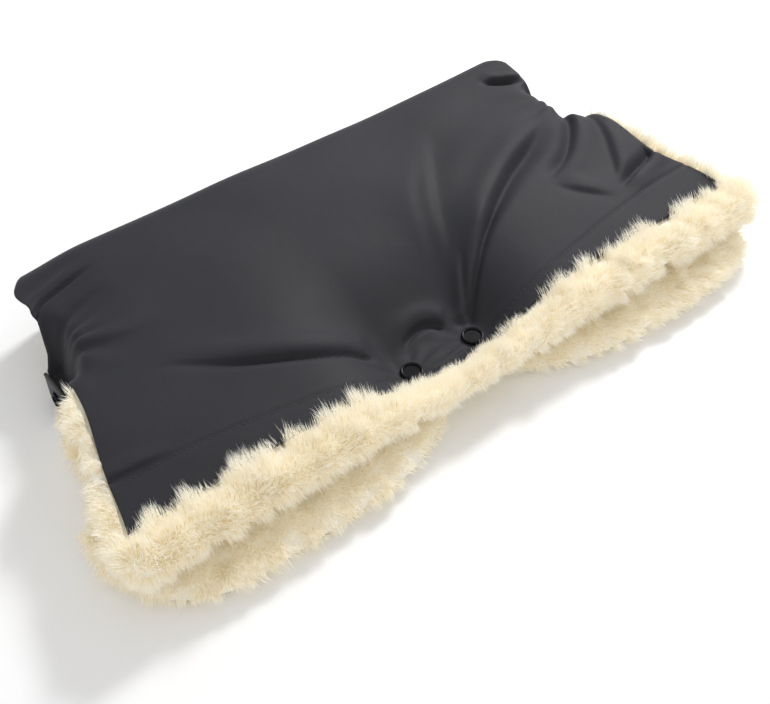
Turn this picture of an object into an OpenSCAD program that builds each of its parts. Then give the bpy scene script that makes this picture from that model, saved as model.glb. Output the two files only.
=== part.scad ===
// Hand warmer muff for a pushchair handlebar: a padded cloth shell lined with sheepskin, folded
// over the bar. The back panel lies on the ground, the fold is at +Y and the hand opening at -Y.
// The origin is under the middle of the muff, on the face that it rests on.

/* [Shell] */
// Width of the shell along the handlebar fold
fold_w = 406; // [380:2:430]
// Width of the shell at the edge of the hand opening
open_w = 472; // [450:2:500]
// Height of the closed muff at its fold
fold_h = 58; // [56:1:70]
// Height of the front panel at the edge of the hand opening
open_h = 41; // [40:1:48]
// Reach of the front panel, from the crest of the fold to its edge
front_reach = 180; // [165:1:200]
// How far the back panel reaches past the front panel's edge
back_extra = 32; // [24:1:40]
// Thickness of the shell cloth with its interlining
shell_t = 1.5; // [1.4:0.1:1.8]

/* [Sheepskin] */
// Depth of the sheepskin, hide and wool
pile = 15; // [13:0.5:15.5]
// Thickness of the hide where the wool is pressed flat
hide_t = 2.5; // [2:0.1:3]
// Wool that stands out past the opening edges
front_wool = 31; // [24:1:36]
// Wool that stands out past the side edges at the opening
side_wool = 22; // [16:1:26]

/* [Opening press studs] */
// Distance between the two press studs
snap_pitch = 50; // [44:1:60]
// Sideways place of the pair, from the middle of the muff
snap_shift = -6; // [-16:1:16]
// Distance of the press studs from the front panel's edge
snap_inset = 15; // [11:1:16]
// Diameter of a press stud's cap
snap_cap_d = 15; // [12:0.5:17]
// Height of the front panel where the press studs pull it down
snap_h = 15; // [14.5:0.1:16]

/* [Side tabs] */
// Width of the webbing tab at each end of the fold
tab_w = 28; // [24:1:30]
// Thickness of the webbing
tab_t = 1.6; // [1.2:0.1:1.8]
// Distance of the tab in front of the crest of the fold
tab_reach = 45; // [42:1:48]
// Height of the front panel's edge where the tab pulls it down
tab_h = 22; // [21.5:0.5:24]
// Diameter of the cap on the tab
tab_cap_d = 12; // [10:0.5:13]

/* [Hidden] */

SHELL = [0.23, 0.23, 0.25];
WOOL = [0.93, 0.88, 0.74];
PLASTIC = [0.09, 0.09, 0.10];
WEBBING = [0.13, 0.13, 0.14];

$fn = 64;
gap = 0.3;              // clearance between pieces on different bodies
skin_gap = 0.3;         // room between the shell and the sheepskin under it
fold_depth = 32;        // crest of the fold to the back of the fold
wall = shell_t + pile;  // shell and sheepskin together
cells_x = 44;           // grid cells across a panel
cells_y = 20;           // grid cells from the opening edge to the fold
cells_rim = 4;          // grid cells of the front sheepskin past the shell's edges
crest_row = 17;         // grid row where the sheepskin over the handlebar starts

// Places along Y, from the fold towards the opening
total_d = fold_depth + front_reach + back_extra + front_wool;
y_fold = total_d / 2;
y_crest = y_fold - fold_depth;
y_split = y_fold - wall - 1;                // the panels end here and the spine starts
y_front_edge = y_crest - front_reach;
y_back_edge = y_front_edge - back_extra;
y_wool_front = y_front_edge - front_wool * 0.9;
y_wool_back = y_back_edge - front_wool;
y_tab = y_crest - tab_reach;
y_snap = y_front_edge + snap_inset;
x_snaps = [snap_shift - snap_pitch / 2, snap_shift + snap_pitch / 2];

function mix(a, b, t) = a + (b - a) * t;
function clamp01(t) = min(1, max(0, t));
function smooth(t) = let (c = clamp01(t)) c * c * (3 - 2 * c);
function bell(d, width) = exp(-pow(d / width, 2));

// Half width of the shell: straight beside the handlebar, then flaring to the opening
function shell_half(y) = mix(fold_w, open_w, pow(clamp01((y_crest - y) / front_reach), 1.6)) / 2;
// Half width of the sheepskin: flush with the shell at the fold, past it at the opening
function wool_half(y, past) =
    shell_half(y) + past * smooth((y_tab + 10 - y) / (y_tab + 10 - y_front_edge));

// How far the opening edge is drawn back: at the studs in the middle and at the corners
function waist(x, depth) = depth * bell(x, 52);
function corner(x, half, r) =
    let (s = clamp01((abs(x) - half + r) / r)) r * (1 - sqrt(max(0, 1 - s * s)));

// How strongly a point is held by the press studs (1 at the studs) and by the side tabs
snap_flat = 20;
snap_spread = 72;
function snap_hold(x, y) =
    let (dx = max(0, abs(x - snap_shift) - snap_pitch / 2), d = norm([dx, y - y_snap]))
    smooth((snap_spread - d) / (snap_spread - snap_flat));
tab_flat = 11;
function tab_hold(x, y) =
    let (dx = max(0, shell_half(y) - abs(x) - tab_flat), dy = max(0, abs(y - y_tab) - tab_flat))
    bell(dx, 30) * bell(dy, 10);

// Top of the front panel, and the depth of the sheepskin in each panel
function front_rise(y) = mix(open_h, fold_h, sin(90 * clamp01((y - y_front_edge) / front_reach)));
function front_top(x, y) =
    let (s = snap_hold(x, y), t = tab_hold(x, y) * (1 - s))
    front_rise(y) * (1 - s - t) + snap_h * s + tab_h * t;
function front_pile(x, y) =
    let (s = snap_hold(x, y), t = tab_hold(x, y) * (1 - s)) mix(pile, hide_t, s + t);
function back_pile(x, y) =
    let (s = snap_hold(x, y), t = tab_hold(x, y) * (1 - s))
    pile * (1 - s - t) + hide_t * s + (pile - 5) * t;

// Rounding of a sheepskin's rim: 1 inside, falling to a thin rim at distance 0
rim_w = 16;
rim_min = 0.15;
function rim(d) = max(rim_min, sqrt(1 - pow(1 - clamp01(d / rim_w), 2)));

// Grid positions on a panel, closer together towards the sides and the opening edge
across = [for (i = [0:cells_x]) let (w = 2 * i / cells_x - 1) w * (1.2 - 0.2 * w * w)];
along = [for (j = [0:cells_y]) let (w = j / cells_y) w * (0.8 + 0.2 * w)];
// The same with more positions past the shell's sides (beyond 1) and its opening edge (below 0)
wide_across = concat(
    [for (i = [cells_rim:-1:1]) -1 - i / cells_rim], across, [for (i = [1:cells_rim]) 1 + i / cells_rim]
);
long_along = concat([for (j = [cells_rim:-1:1]) -j / cells_rim], along);

// A closed sheet between two surfaces over one grid. top and bottom take (u, v) and give a point.
module sheet(us, vs, top, bottom) {
    nu = len(us) - 1;
    nv = len(vs) - 1;
    nx = nu + 1;
    layer = nx * (nv + 1);
    points = concat([for (v = vs, u = us) top(u, v)], [for (v = vs, u = us) bottom(u, v)]);
    rim_loop = concat(
        [for (i = [0:nu - 1]) i],
        [for (j = [0:nv - 1]) j * nx + nu],
        [for (i = [nu:-1:1]) nv * nx + i],
        [for (j = [nv:-1:1]) j * nx]
    );
    n = len(rim_loop);
    faces = concat(
        [for (j = [0:nv - 1], i = [0:nu - 1], k = [0, 1])
            let (a = j * nx + i)
            k == 0 ? [a, a + nx + 1, a + 1] : [a, a + nx, a + nx + 1]],
        [for (j = [0:nv - 1], i = [0:nu - 1], k = [0, 1])
            let (a = layer + j * nx + i)
            k == 0 ? [a, a + 1, a + nx + 1] : [a, a + nx + 1, a + nx]],
        [for (m = [0:n - 1], k = [0, 1])
            let (a = rim_loop[m], b = rim_loop[(m + 1) % n])
            k == 0 ? [a, b, b + layer] : [a, b + layer, a + layer]]
    );
    polyhedron(points, faces);
}

// Plan position of a grid point on a panel: [x, y], and its distances from the side and front rims
function plan(u, v, y_tip, half, draw) =
    let (y0 = mix(y_tip, y_split - gap / 2, v), x = u * half(y0), y = y0 + draw(x) * pow(1 - v, 2))
    [x, y, (1 - abs(u)) * half(y0), v * (y_split - y_tip)];

// ---- Shell ----

module back_outline() {
    half = function (y) shell_half(y) + 2 * clamp01((y_front_edge - y) / back_extra);
    wide = half(y_back_edge);
    steps = 40;
    polygon(concat(
        [for (i = [0:2 * steps])
            let (x = wide * (i / steps - 1))
            [x, y_back_edge + waist(x, 25) + corner(x, wide, 30)]],
        [for (j = [1:steps])
            let (y = mix(y_back_edge + 30, y_split - gap / 2, j / steps)) [half(y), y]],
        [for (j = [steps:-1:1])
            let (y = mix(y_back_edge + 30, y_split - gap / 2, j / steps)) [-half(y), y]]
    ));
}

post_d = 12;         // flange of a press stud's lower part
post_t = 1;
shaft_r = 1.5;
shaft_hole_r = 1.6;
ear_x = fold_w / 2;  // the back shell's upturned ear at each side, which carries a stud
ear_h = 16;

module back_shell() {
    color(SHELL) {
        difference() {
            linear_extrude(shell_t) back_outline();
            for (x = x_snaps) translate([x, y_snap, -1]) {
                cylinder(h = post_t + 1.1, d = post_d + 0.4);
                cylinder(h = shell_t + 2, r = shaft_hole_r);
            }
        }
        for (side = [-1, 1]) difference() {
            translate([side * (ear_x + shell_t / 2), y_tab, ear_h / 2])
                cube([shell_t, tab_w, ear_h], center = true);
            translate([side * ear_x, y_tab, tab_z]) rotate([0, 90, 0])
                cylinder(h = 4 * shell_t, r = shaft_hole_r, center = true);
        }
    }
}

// Section of the fold: straight towards the panels, round at the back
module spine_slab(inset) {
    r = wall - inset;
    for (z = [wall, fold_h - wall]) translate([y_fold - wall, z]) circle(r);
    translate([y_fold - wall, wall]) square([r, fold_h - 2 * wall]);
    translate([y_crest, inset]) square([y_fold - wall - y_crest, fold_h - 2 * inset]);
}

// Everything of the spine lies past the split plane
module behind_split() {
    y0 = y_split + gap / 2;
    translate([y0, -1]) square([y_fold - y0 + 1, fold_h + 2]);
}

module along_fold(length) {
    rotate([90, 0, 90]) translate([0, 0, -length / 2]) linear_extrude(length) children();
}

module spine_shell() {
    color(SHELL) along_fold(fold_w) intersection() {
        difference() {
            spine_slab(0);
            spine_slab(shell_t);
        }
        behind_split();
    }
}

module spine_fleece() {
    color(WOOL) along_fold(fold_w - 4) intersection() {
        spine_slab(shell_t + 0.05);
        behind_split();
    }
}

module front_shell() {
    top = function (u, v)
        let (p = plan(u, v, y_front_edge, function (y) shell_half(y), function (x) 0))
        [p[0], p[1], front_top(p[0], p[1])];
    bottom = function (u, v) let (p = top(u, v)) [p[0], p[1], p[2] - shell_t];
    color(SHELL) difference() {
        sheet(across, along, top, bottom);
        for (x = x_snaps) translate([x, y_snap, 0]) cylinder(h = fold_h, r = shaft_hole_r);
    }
}

// ---- Sheepskin ----

// Room that the tab's parts need at each side
module tab_room() {
    for (side = [-1, 1])
        translate([side * (ear_x + 20 - post_t - 2 * gap), y_tab, fold_h / 2])
            cube([40, tab_w + 6, fold_h], center = true);
}

// Clearance round the shafts of the opening's press studs
module stud_room() {
    for (x = x_snaps) translate([x, y_snap, 0]) cylinder(h = fold_h, r = shaft_hole_r);
}

module back_fleece() {
    place = function (u, v) plan(
        u, v, y_wool_back,
        function (y) wool_half(y, side_wool),
        function (x) waist(x, 38) + corner(x, wool_half(y_wool_back, side_wool), 70)
    );
    base = shell_t + 0.05;
    top = function (u, v)
        let (p = place(u, v), r = rim(p[2]) * rim(p[3]), t = back_pile(p[0], p[1]))
        [p[0], p[1], base + t * (0.5 + 0.5 * r)];
    bottom = function (u, v)
        let (p = place(u, v), r = rim(p[2]) * rim(p[3]), t = back_pile(p[0], p[1]))
        [p[0], p[1], base + t * (0.5 - 0.5 * r)];
    color(WOOL) difference() {
        sheet(across, along, top, bottom);
        stud_room();
        tab_room();
    }
}

// Plan position of a grid point of the front sheepskin, which follows the shell's grid as far as
// the shell goes: [x, y], and its distances from the side and front rims
side_past = 1.5;                            // how far it stands past the shell's sides at the fold
front_past = y_front_edge - y_wool_front;   // and past the shell's opening edge
function front_place(u, v) =
    let (
        a = max(0, abs(u) - 1),
        b = max(0, -v),
        y = mix(y_front_edge, y_split - gap / 2, max(0, v)) - front_past * b * sqrt(1 - a * a / 2),
        half = shell_half(y),
        past = max(side_past, wool_half(y, side_wool * 0.6) - half),
        x = sign(u) * (min(1, abs(u)) * half + past * a * sqrt(1 - b * b / 2))
    )
    [x, y, (1 - a) * past + max(0, 1 - abs(u)) * half, (1 - b) * front_past + max(0, y - y_front_edge)];

// The front sheepskin over the grid rows vs
module front_sheepskin(vs) {
    depth = function (p, side)
        let (r = rim(p[2]) * rim(p[3])) front_pile(p[0], p[1]) * (0.5 + side * 0.5 * r);
    top = function (u, v)
        let (p = front_place(u, v))
        [p[0], p[1], front_top(p[0], p[1]) - shell_t - skin_gap - depth(p, -1)];
    bottom = function (u, v)
        let (p = front_place(u, v))
        [p[0], p[1], front_top(p[0], p[1]) - shell_t - skin_gap - depth(p, 1)];
    color(WOOL) difference() {
        sheet(wide_across, vs, top, bottom);
        stud_room();
        tab_room();
    }
}
module front_fleece() {
    front_sheepskin([for (j = [0:cells_rim + crest_row]) long_along[j]]);
}
module crest_fleece() {
    front_sheepskin([for (j = [crest_row:cells_y]) along[j]]);
}

// ---- Press studs, each drawn along +Z with its axis on Z ----

// Cap with a raised rim and a dished middle, and the shaft that is riveted into the socket
module snap_cap(d, shaft) {
    rim_r = 1.1;
    color(PLASTIC) {
        rotate_extrude() {
            square([d / 2 - rim_r, 1.1]);
            translate([d / 2 - rim_r, rim_r]) circle(rim_r, $fn = 32);
        }
        translate([0, 0, -shaft]) cylinder(h = shaft + 0.5, r = shaft_r);
    }
}

// Socket: a ring with a base, open towards -Z, hanging from Z = 0
socket_r = 5.5;
bore_r = 2.9;
module snap_socket(h, base) {
    color(PLASTIC) translate([0, 0, -h]) difference() {
        cylinder(h = h, r = socket_r);
        translate([0, 0, -1]) cylinder(h = h - base + 1, r = bore_r);
        cylinder(h = h + 1, r = shaft_hole_r);
    }
}

// Stud: a flange on Z = 0 and a head with a waist
module snap_stud(h) {
    flange_r = 5.5;
    flange_t = 1;
    head_r = 2.4;
    color(PLASTIC) difference() {
        rotate_extrude() {
            square([flange_r, flange_t]);
            square([head_r - 0.3, h - 0.2]);
            translate([0, h - 1.2]) square([head_r, 1]);
        }
        translate([0, 0, -1]) cylinder(h = h + 2, r = shaft_hole_r);
    }
}

// Post: a flat flange below Z = 0 and a shaft up into the stud
module snap_post(shaft) {
    color(PLASTIC) {
        translate([0, 0, -post_t]) cylinder(h = post_t, d = post_d);
        cylinder(h = shaft, r = shaft_r);
    }
}

// Heights at the opening press studs
stud_z = shell_t + hide_t + 0.1;
socket_z = snap_h - shell_t - skin_gap - hide_t - 0.05;
socket_h = 4.9;
socket_base = 1.2;
stud_h = socket_z - socket_base - 0.7 - stud_z;

module at_snap(side, z) {
    translate([x_snaps[side], y_snap, z]) children();
}

module opening_cap(side) {
    at_snap(side, snap_h + 0.05) snap_cap(snap_cap_d, snap_h - socket_z + 1);
}
module opening_socket(side) { at_snap(side, socket_z) snap_socket(socket_h, socket_base); }
module opening_stud(side) { at_snap(side, stud_z) snap_stud(stud_h); }
module opening_post(side) { at_snap(side, post_t + 0.05) snap_post(stud_z + 1.5 - post_t); }

// ---- Side tabs ----

tab_z = 10;                                  // height of the tab's press stud
tab_stud_h = 3;
tab_socket_h = 2.6;
tab_x = ear_x + shell_t + tab_stud_h + gap + tab_socket_h + 0.1;  // the strap's inner face
pivot_r = tab_t / 2 + 0.4;
pivot_x = max(tab_x + tab_t / 2, shell_half(y_tab - tab_w / 2) + gap + pivot_r);
pivot_z = tab_h - shell_t / 2;
strap_low = 2.6;

// Moves a press stud piece drawn along +Z so that it points out of the muff's side
module at_tab(side, x) {
    translate([(side == 0 ? -1 : 1) * x, y_tab, tab_z])
        rotate([0, side == 0 ? -90 : 90, 0]) children();
}

// Webbing strap with a rolled upper edge, sewn along the front panel's side
module tab_strap(side) {
    sign = side == 0 ? -1 : 1;
    color(WEBBING) difference() {
        union() {
            translate([sign * pivot_x, y_tab, pivot_z]) rotate([90, 0, 0])
                cylinder(h = tab_w, r = pivot_r, center = true);
            translate([sign * pivot_x - tab_t / 2, y_tab - tab_w / 2, strap_low])
                cube([tab_t, tab_w, pivot_z - strap_low]);
        }
        translate([sign * pivot_x, y_tab, tab_z]) rotate([0, 90, 0])
            cylinder(h = 4 * tab_t, r = shaft_hole_r, center = true);
    }
}
module tab_cap(side) {
    at_tab(side, pivot_x + tab_t / 2 + 0.05) snap_cap(tab_cap_d, tab_t + 1);
}
module tab_socket(side) {
    at_tab(side, pivot_x - tab_t / 2 - 0.05) snap_socket(tab_socket_h, 0.9);
}
module tab_stud(side) { at_tab(side, ear_x + shell_t + 0.05) snap_stud(tab_stud_h); }
module tab_post(side) { at_tab(side, ear_x - 0.05) snap_post(shell_t + 1.2); }

back_shell();
back_fleece();
spine_shell();
spine_fleece();
front_shell();
front_fleece();
crest_fleece();
opening_cap(0);  // snap_left_cap
opening_socket(0);  // snap_left_socket
opening_stud(0);  // snap_left_stud
opening_post(0);  // snap_left_post
opening_cap(1);  // snap_right_cap
opening_socket(1);  // snap_right_socket
opening_stud(1);  // snap_right_stud
opening_post(1);  // snap_right_post
tab_strap(0);  // tab_left_strap
tab_cap(0);  // tab_left_cap
tab_socket(0);  // tab_left_socket
tab_stud(0);  // tab_left_stud
tab_post(0);  // tab_left_post
tab_strap(1);  // tab_right_strap
tab_cap(1);  // tab_right_cap
tab_socket(1);  // tab_right_socket
tab_stud(1);  // tab_right_stud
tab_post(1);  // tab_right_post
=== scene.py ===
import math

import bpy
import numpy as np
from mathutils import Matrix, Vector


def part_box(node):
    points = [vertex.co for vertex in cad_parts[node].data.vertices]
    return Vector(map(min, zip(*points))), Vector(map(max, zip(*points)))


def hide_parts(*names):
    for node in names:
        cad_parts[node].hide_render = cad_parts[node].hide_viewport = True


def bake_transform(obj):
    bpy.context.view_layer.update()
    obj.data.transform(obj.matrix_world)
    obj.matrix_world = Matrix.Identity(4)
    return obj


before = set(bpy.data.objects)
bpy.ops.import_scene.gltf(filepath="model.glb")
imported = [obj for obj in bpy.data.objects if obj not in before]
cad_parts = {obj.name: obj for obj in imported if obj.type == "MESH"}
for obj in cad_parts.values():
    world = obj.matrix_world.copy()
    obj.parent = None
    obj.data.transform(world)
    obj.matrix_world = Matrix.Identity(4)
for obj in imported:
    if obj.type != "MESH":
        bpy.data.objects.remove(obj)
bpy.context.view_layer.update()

# A hand warmer muff: a charcoal cloth shell and a sheepskin, folded in two round a handlebar, with press
# studs in the middle of the hand opening and a webbing tab at each end of the fold.

MM = 0.001                          # all lengths are in metres
rng = np.random.default_rng(20)

# ---- Places and sizes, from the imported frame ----

SPINE_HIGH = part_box("spine_shell")[1]
FRONT_LOW, FRONT_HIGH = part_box("front_shell")
STRAP_LOW, STRAP_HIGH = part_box("tab_right_strap")


def middle(node):
    low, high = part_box(node)
    return (low + high) / 2


FOLD_HALF = SPINE_HIGH.x            # half length of the fold
OPEN_HALF = FRONT_HIGH.x            # half width of the shell at the hand opening
Y_FOLD = SPINE_HIGH.y               # back of the fold
FOLD_H = SPINE_HIGH.z               # height of the fold
OPEN_H = 41 * MM                    # height of the front panel at its opening edge
Y_EDGE = FRONT_LOW.y                # opening edge of the front panel's shell
Y_BACK_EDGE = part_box("back_shell")[0].y         # opening edge of the back panel's shell
Y_CREST = Y_FOLD - 32 * MM          # where the front panel begins to turn down into the fold
WALL = 16.5 * MM                    # shell and sheepskin together, and the fold's radius
SHELL_T = 1.5 * MM
REACH = Y_CREST - Y_EDGE            # length of the front panel up to there
STUDS = [middle("snap_left_cap"), middle("snap_right_cap")]
STUD_MID = (STUDS[0] + STUDS[1]) / 2
STUD_GAP = STUDS[1].x - STUDS[0].x
STUD_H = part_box("snap_left_cap")[1].z - 2.2 * MM    # the cloth's height under the caps
TABS = [middle("tab_left_strap"), middle("tab_right_strap")]
Y_TAB = TABS[0].y
TAB_H = 22 * MM                     # the cloth's height where the tabs pull it down
TAB_INSIDE = STRAP_LOW.x            # inner face of the tabs' webbing
EAR_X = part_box("tab_right_stud")[0].x - SHELL_T     # inner face of the back shell's ears
EAR_HALF = (STRAP_HIGH.y - STRAP_LOW.y) / 2
EAR_H = 16 * MM                     # their height


def clamp01(t):
    """The value, kept between 0 and 1."""
    return np.clip(t, 0.0, 1.0)


def smooth(t):
    """A soft step from 0 at 0 to 1 at 1."""
    c = clamp01(t)
    return c * c * (3 - 2 * c)


def mix(a, b, t):
    return a + (b - a) * t


def bell(d, width):
    """1 at no distance, fading to 0 over about twice the width."""
    return np.exp(-(d / width) ** 2)


def unit(v):
    return v / np.maximum(np.linalg.norm(v, axis=-1, keepdims=True), 1e-12)


# ---- Form of the panels ----


def shell_half(y):
    """Half width of the shell: straight beside the handlebar, then flaring to the opening."""
    return mix(FOLD_HALF, OPEN_HALF, clamp01((Y_CREST - y) / REACH) ** 1.6)


HOLD_FLAT = 8 * MM                  # radius of the level cloth round a press stud
HOLD_REACH = 26 * MM                # how far its pull is felt past that
HOLD_LONG = 0.62                    # the pull reaches further away from the opening


def stud_hold(x, y):
    """How strongly a point is held down by the press studs, 1 at them and between them."""
    dx = np.maximum(0, np.abs(x - STUD_MID.x) - STUD_GAP / 2)
    dy = y - STUD_MID.y
    d = np.hypot(dx, np.where(dy > 0, HOLD_LONG * dy, dy))
    return np.exp(-(np.maximum(0, d - HOLD_FLAT) / HOLD_REACH) ** 1.35)


def tab_hold(x, y):
    """How strongly a point is held down by the side tabs."""
    dx = np.maximum(0, shell_half(y) - np.abs(x) - 1 * MM)
    dy = np.maximum(0, np.abs(y - Y_TAB) - 10 * MM)
    return bell(dx, 7.5 * MM) * bell(dy, 13 * MM)


def front_top(x, y):
    """Height of the front panel, as in the CAD."""
    rise = mix(OPEN_H, FOLD_H, np.sin(math.pi / 2 * clamp01((y - Y_EDGE) / REACH)))
    s = stud_hold(x, y)
    t = tab_hold(x, y) * (1 - s)
    return rise * (1 - s - t) + STUD_H * s + TAB_H * t


# ---- Creases in the front panel, as lines on its plan in mm ----


def line_field(x, y, points):
    """Signed distance to a polyline, positive on its left, and how far along it the nearest point is."""
    pts = np.array(points, float) * MM
    seg = pts[1:] - pts[:-1]
    length = np.linalg.norm(seg, axis=1)
    start = np.concatenate([[0], np.cumsum(length)])
    best = np.full(x.shape, 1e9)
    side = np.zeros(x.shape)
    along = np.zeros(x.shape)
    for k in range(len(seg)):
        px = x - pts[k, 0]
        py = y - pts[k, 1]
        t = clamp01((px * seg[k, 0] + py * seg[k, 1]) / length[k] ** 2)
        dx = px - t * seg[k, 0]
        dy = py - t * seg[k, 1]
        d = np.hypot(dx, dy)
        near = d < best
        cross = seg[k, 0] * py - seg[k, 1] * px
        best = np.where(near, d, best)
        side = np.where(near, np.sign(cross), side)
        along = np.where(near, (start[k] + t * length[k]) / start[-1], along)
    return best * side, along


def curve_through(points, per=8):
    """A smooth line through the points."""
    p = np.array(points, float)
    p = np.vstack([2 * p[0] - p[1], p, 2 * p[-1] - p[-2]])
    out = []
    for k in range(1, len(p) - 2):
        for t in np.arange(per) / per:
            a = 2 * p[k]
            b = (p[k + 1] - p[k - 1]) * t
            c = (2 * p[k - 1] - 5 * p[k] + 4 * p[k + 1] - p[k + 2]) * t * t
            d = (3 * p[k] - p[k - 1] - 3 * p[k + 1] + p[k + 2]) * t ** 3
            out.append(0.5 * (a + b + c + d))
    out.append(p[-2])
    return np.array(out)


def crease(x, y, points, depth, width, bulge, reach, fade=(0.3, 0.1)):
    """A valley along a line, as wide as given at its two ends, with a roll of cloth on the line's left."""
    d, t = line_field(x, y, curve_through(points))
    ends = smooth(t / max(fade[0], 1e-3)) * smooth((1 - t) / max(fade[1], 1e-3))
    w = mix(width[0], width[1], t) * MM
    r = reach * MM
    valley = np.where(d > 0, bell(d, w * 0.7), bell(d, w * 1.6))
    roll = np.where(d > 0, bell(d - r, r), 0) * clamp01(d / (0.5 * r))
    return (-depth * valley + bulge * roll) * ends * MM


CREASES = [
    # the long drag line into the left stud, with the cloth bulging over it
    dict(points=[(-178, 12), (-159, 6), (-137, -7), (-115, -19), (-93, -29), (-75, -35), (-62, -38),
                 (-46, -44)],
         depth=3.6, width=(2.2, 1.5), bulge=3.0, reach=9, fade=(0.55, 0.06)),
    # the short arc between the studs
    dict(points=[(-25, -46), (-21, -40), (-15, -37), (-6, -35.5), (3, -37), (11, -43)],
         depth=3.0, width=(1.6, 1.5), bulge=2.4, reach=6, fade=(0.4, 0.1)),
    # the deep fold from the right stud towards the right tab: its narrow part, then its wide part
    dict(points=[(24, -51), (33, -42), (41, -35), (52, -26), (69, -13), (93, 2)],
         depth=3.6, width=(1.6, 2.4), bulge=2.4, reach=6, fade=(0.05, 0.3)),
    dict(points=[(52, -26), (69, -13), (93, 2), (122, 18), (150, 30), (182, 44)],
         depth=5.0, width=(2.4, 7.0), bulge=4.0, reach=11, fade=(0.35, 0.35)),
    # the narrow line beside it
    dict(points=[(26, -46), (32, -37), (39, -26), (50, -10)],
         depth=2.4, width=(1.3, 1.4), bulge=1.2, reach=4, fade=(0.05, 0.5)),
    # broad soft valleys that run up to the fold
    dict(points=[(36, -18), (46, -4), (59, 21), (84, 56), (112, 92)],
         depth=1.5, width=(5, 9), bulge=1.0, reach=12, fade=(0.3, 0.4)),
    dict(points=[(12, -28), (31, -9), (42, 14), (56, 40), (92, 77)],
         depth=1.0, width=(7, 10), bulge=0.6, reach=14, fade=(0.3, 0.4)),
    # folds between the right tab and the right corner
    dict(points=[(204, 62), (196, 44), (188, 30), (167, 11), (147, 2), (131, -3)],
         depth=4.2, width=(3.4, 4.4), bulge=2.0, reach=9, fade=(0.05, 0.3)),
    dict(points=[(133, -6), (144, -21), (158, -36), (168, -44)],
         depth=1.2, width=(2.6, 2.6), bulge=1.6, reach=8, fade=(0.45, 0.45)),
    dict(points=[(222, -22), (212, -26), (198, -29), (184, -33), (170, -38)],
         depth=4.6, width=(3.4, 2.6), bulge=2.2, reach=7, fade=(0.05, 0.4)),
    dict(points=[(202, 52), (204, 30), (198, 6), (186, -16), (170, -36)],
         depth=1.6, width=(5, 5), bulge=1.6, reach=9, fade=(0.1, 0.3)),
    # the turned lip of the fold's ends
    dict(points=[(-204, 90), (-202, 96), (-196, 100), (-186, 102), (-171, 104), (-152, 106)],
         depth=3.2, width=(1.1, 1.6), bulge=1.6, reach=5, fade=(0.02, 0.45)),
    dict(points=[(170, 110), (179, 106), (186, 101), (195, 97), (207, 95)],
         depth=5.0, width=(1.8, 2.4), bulge=2.2, reach=5, fade=(0.35, 0.4)),
    # drag lines from the left tab
    dict(points=[(-204, 70), (-190, 78), (-172, 82), (-150, 84)],
         depth=1.5, width=(3.5, 5), bulge=1.2, reach=8, fade=(0.05, 0.6)),
    dict(points=[(-206, 56), (-190, 46), (-168, 40), (-140, 40)],
         depth=1.3, width=(4, 6), bulge=1.0, reach=9, fade=(0.05, 0.6)),
    # the fold at the left corner's side edge
    dict(points=[(-236, -38), (-226, -41), (-210, -43), (-186, -45)],
         depth=2.2, width=(1.6, 2.2), bulge=1.2, reach=5, fade=(0.05, 0.5)),
]


def gathers(x, y):
    """Small puckers that radiate from each stud and tab."""
    h = np.zeros(x.shape)
    for s, spokes, turn in ((STUDS[0], 9, 0.4), (STUDS[1], 11, 1.3)):
        dx = x - s.x
        dy = y - s.y
        r = np.hypot(dx, dy)
        a = np.arctan2(dy, dx)
        ring = smooth((r - 7.5 * MM) / (6 * MM)) * bell(np.maximum(0, r - 13 * MM), 13 * MM)
        h += 0.5 * MM * ring * np.sin(spokes * a + turn + 2.0 * np.sin(2 * a))
    for t, spokes in ((TABS[0], 13), (TABS[1], 11)):
        dx = x - t.x
        dy = y - t.y
        r = np.hypot(dx, dy)
        a = np.arctan2(dy, np.abs(dx))
        ring = smooth((r - 10 * MM) / (9 * MM)) * bell(np.maximum(0, r - 22 * MM), 20 * MM)
        h += 0.7 * MM * ring * np.sin(spokes * a + 0.7 + 1.4 * np.sin(3 * a))
    return h


def random_waves(count, shortest, longest):
    """Directions, lengths and phases of plane waves."""
    waves = []
    for _ in range(count):
        direction = rng.uniform(0, 2 * math.pi)
        length = rng.uniform(shortest, longest)
        waves.append((direction, length, rng.uniform(0, 2 * math.pi)))
    return waves


WAVES = random_waves(14, 0.04, 0.12)


def wave_field(x, y, direction, length, phase):
    k = 2 * math.pi / length
    return np.sin(k * (x * math.cos(direction) + y * math.sin(direction)) + phase)


def undulation(x, y):
    """Slow unevenness of soft cloth over wool."""
    h = np.zeros(x.shape)
    for direction, length, phase in WAVES:
        h += wave_field(x, y, direction, length, phase) * length
    return h * 2.2 * MM


HEM = 14 * MM                       # width of the turned hem
HEM_CORNERS = 14 * MM               # how much wider it is at the corners
HEM_MIDDLE = 6 * MM                 # how much narrower it is at the press studs


def hem_line(x):
    """Where the hem's stitching runs across the panel."""
    wider = HEM_CORNERS * smooth((np.abs(x) - 60 * MM) / (150 * MM))
    return Y_EDGE + HEM + wider - HEM_MIDDLE * bell(x - STUD_MID.x, 60 * MM)


def hem(x, y):
    """The turned hem: a little thicker, with a stitched dip along its inner edge and a low rise past it."""
    d = y - hem_line(x)
    step = 0.3 * MM * smooth(-d / (2 * MM))
    dip = 0.4 * MM * bell(d, 1.3 * MM)
    return step - dip + 0.25 * MM * bell(d - 3.4 * MM, 2.4 * MM)


def cloth_detail(x, y):
    """Everything that the real cloth adds to the CAD's front panel."""
    keep = 1 - 0.9 * np.maximum.reduce([bell(np.hypot(x - s.x, y - s.y), 9 * MM) for s in STUDS])
    h = undulation(x, y) + gathers(x, y)
    for c in CREASES:
        h = h + crease(x, y, **c)
    return h * keep + hem(x, y) - droop(x, y)


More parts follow.
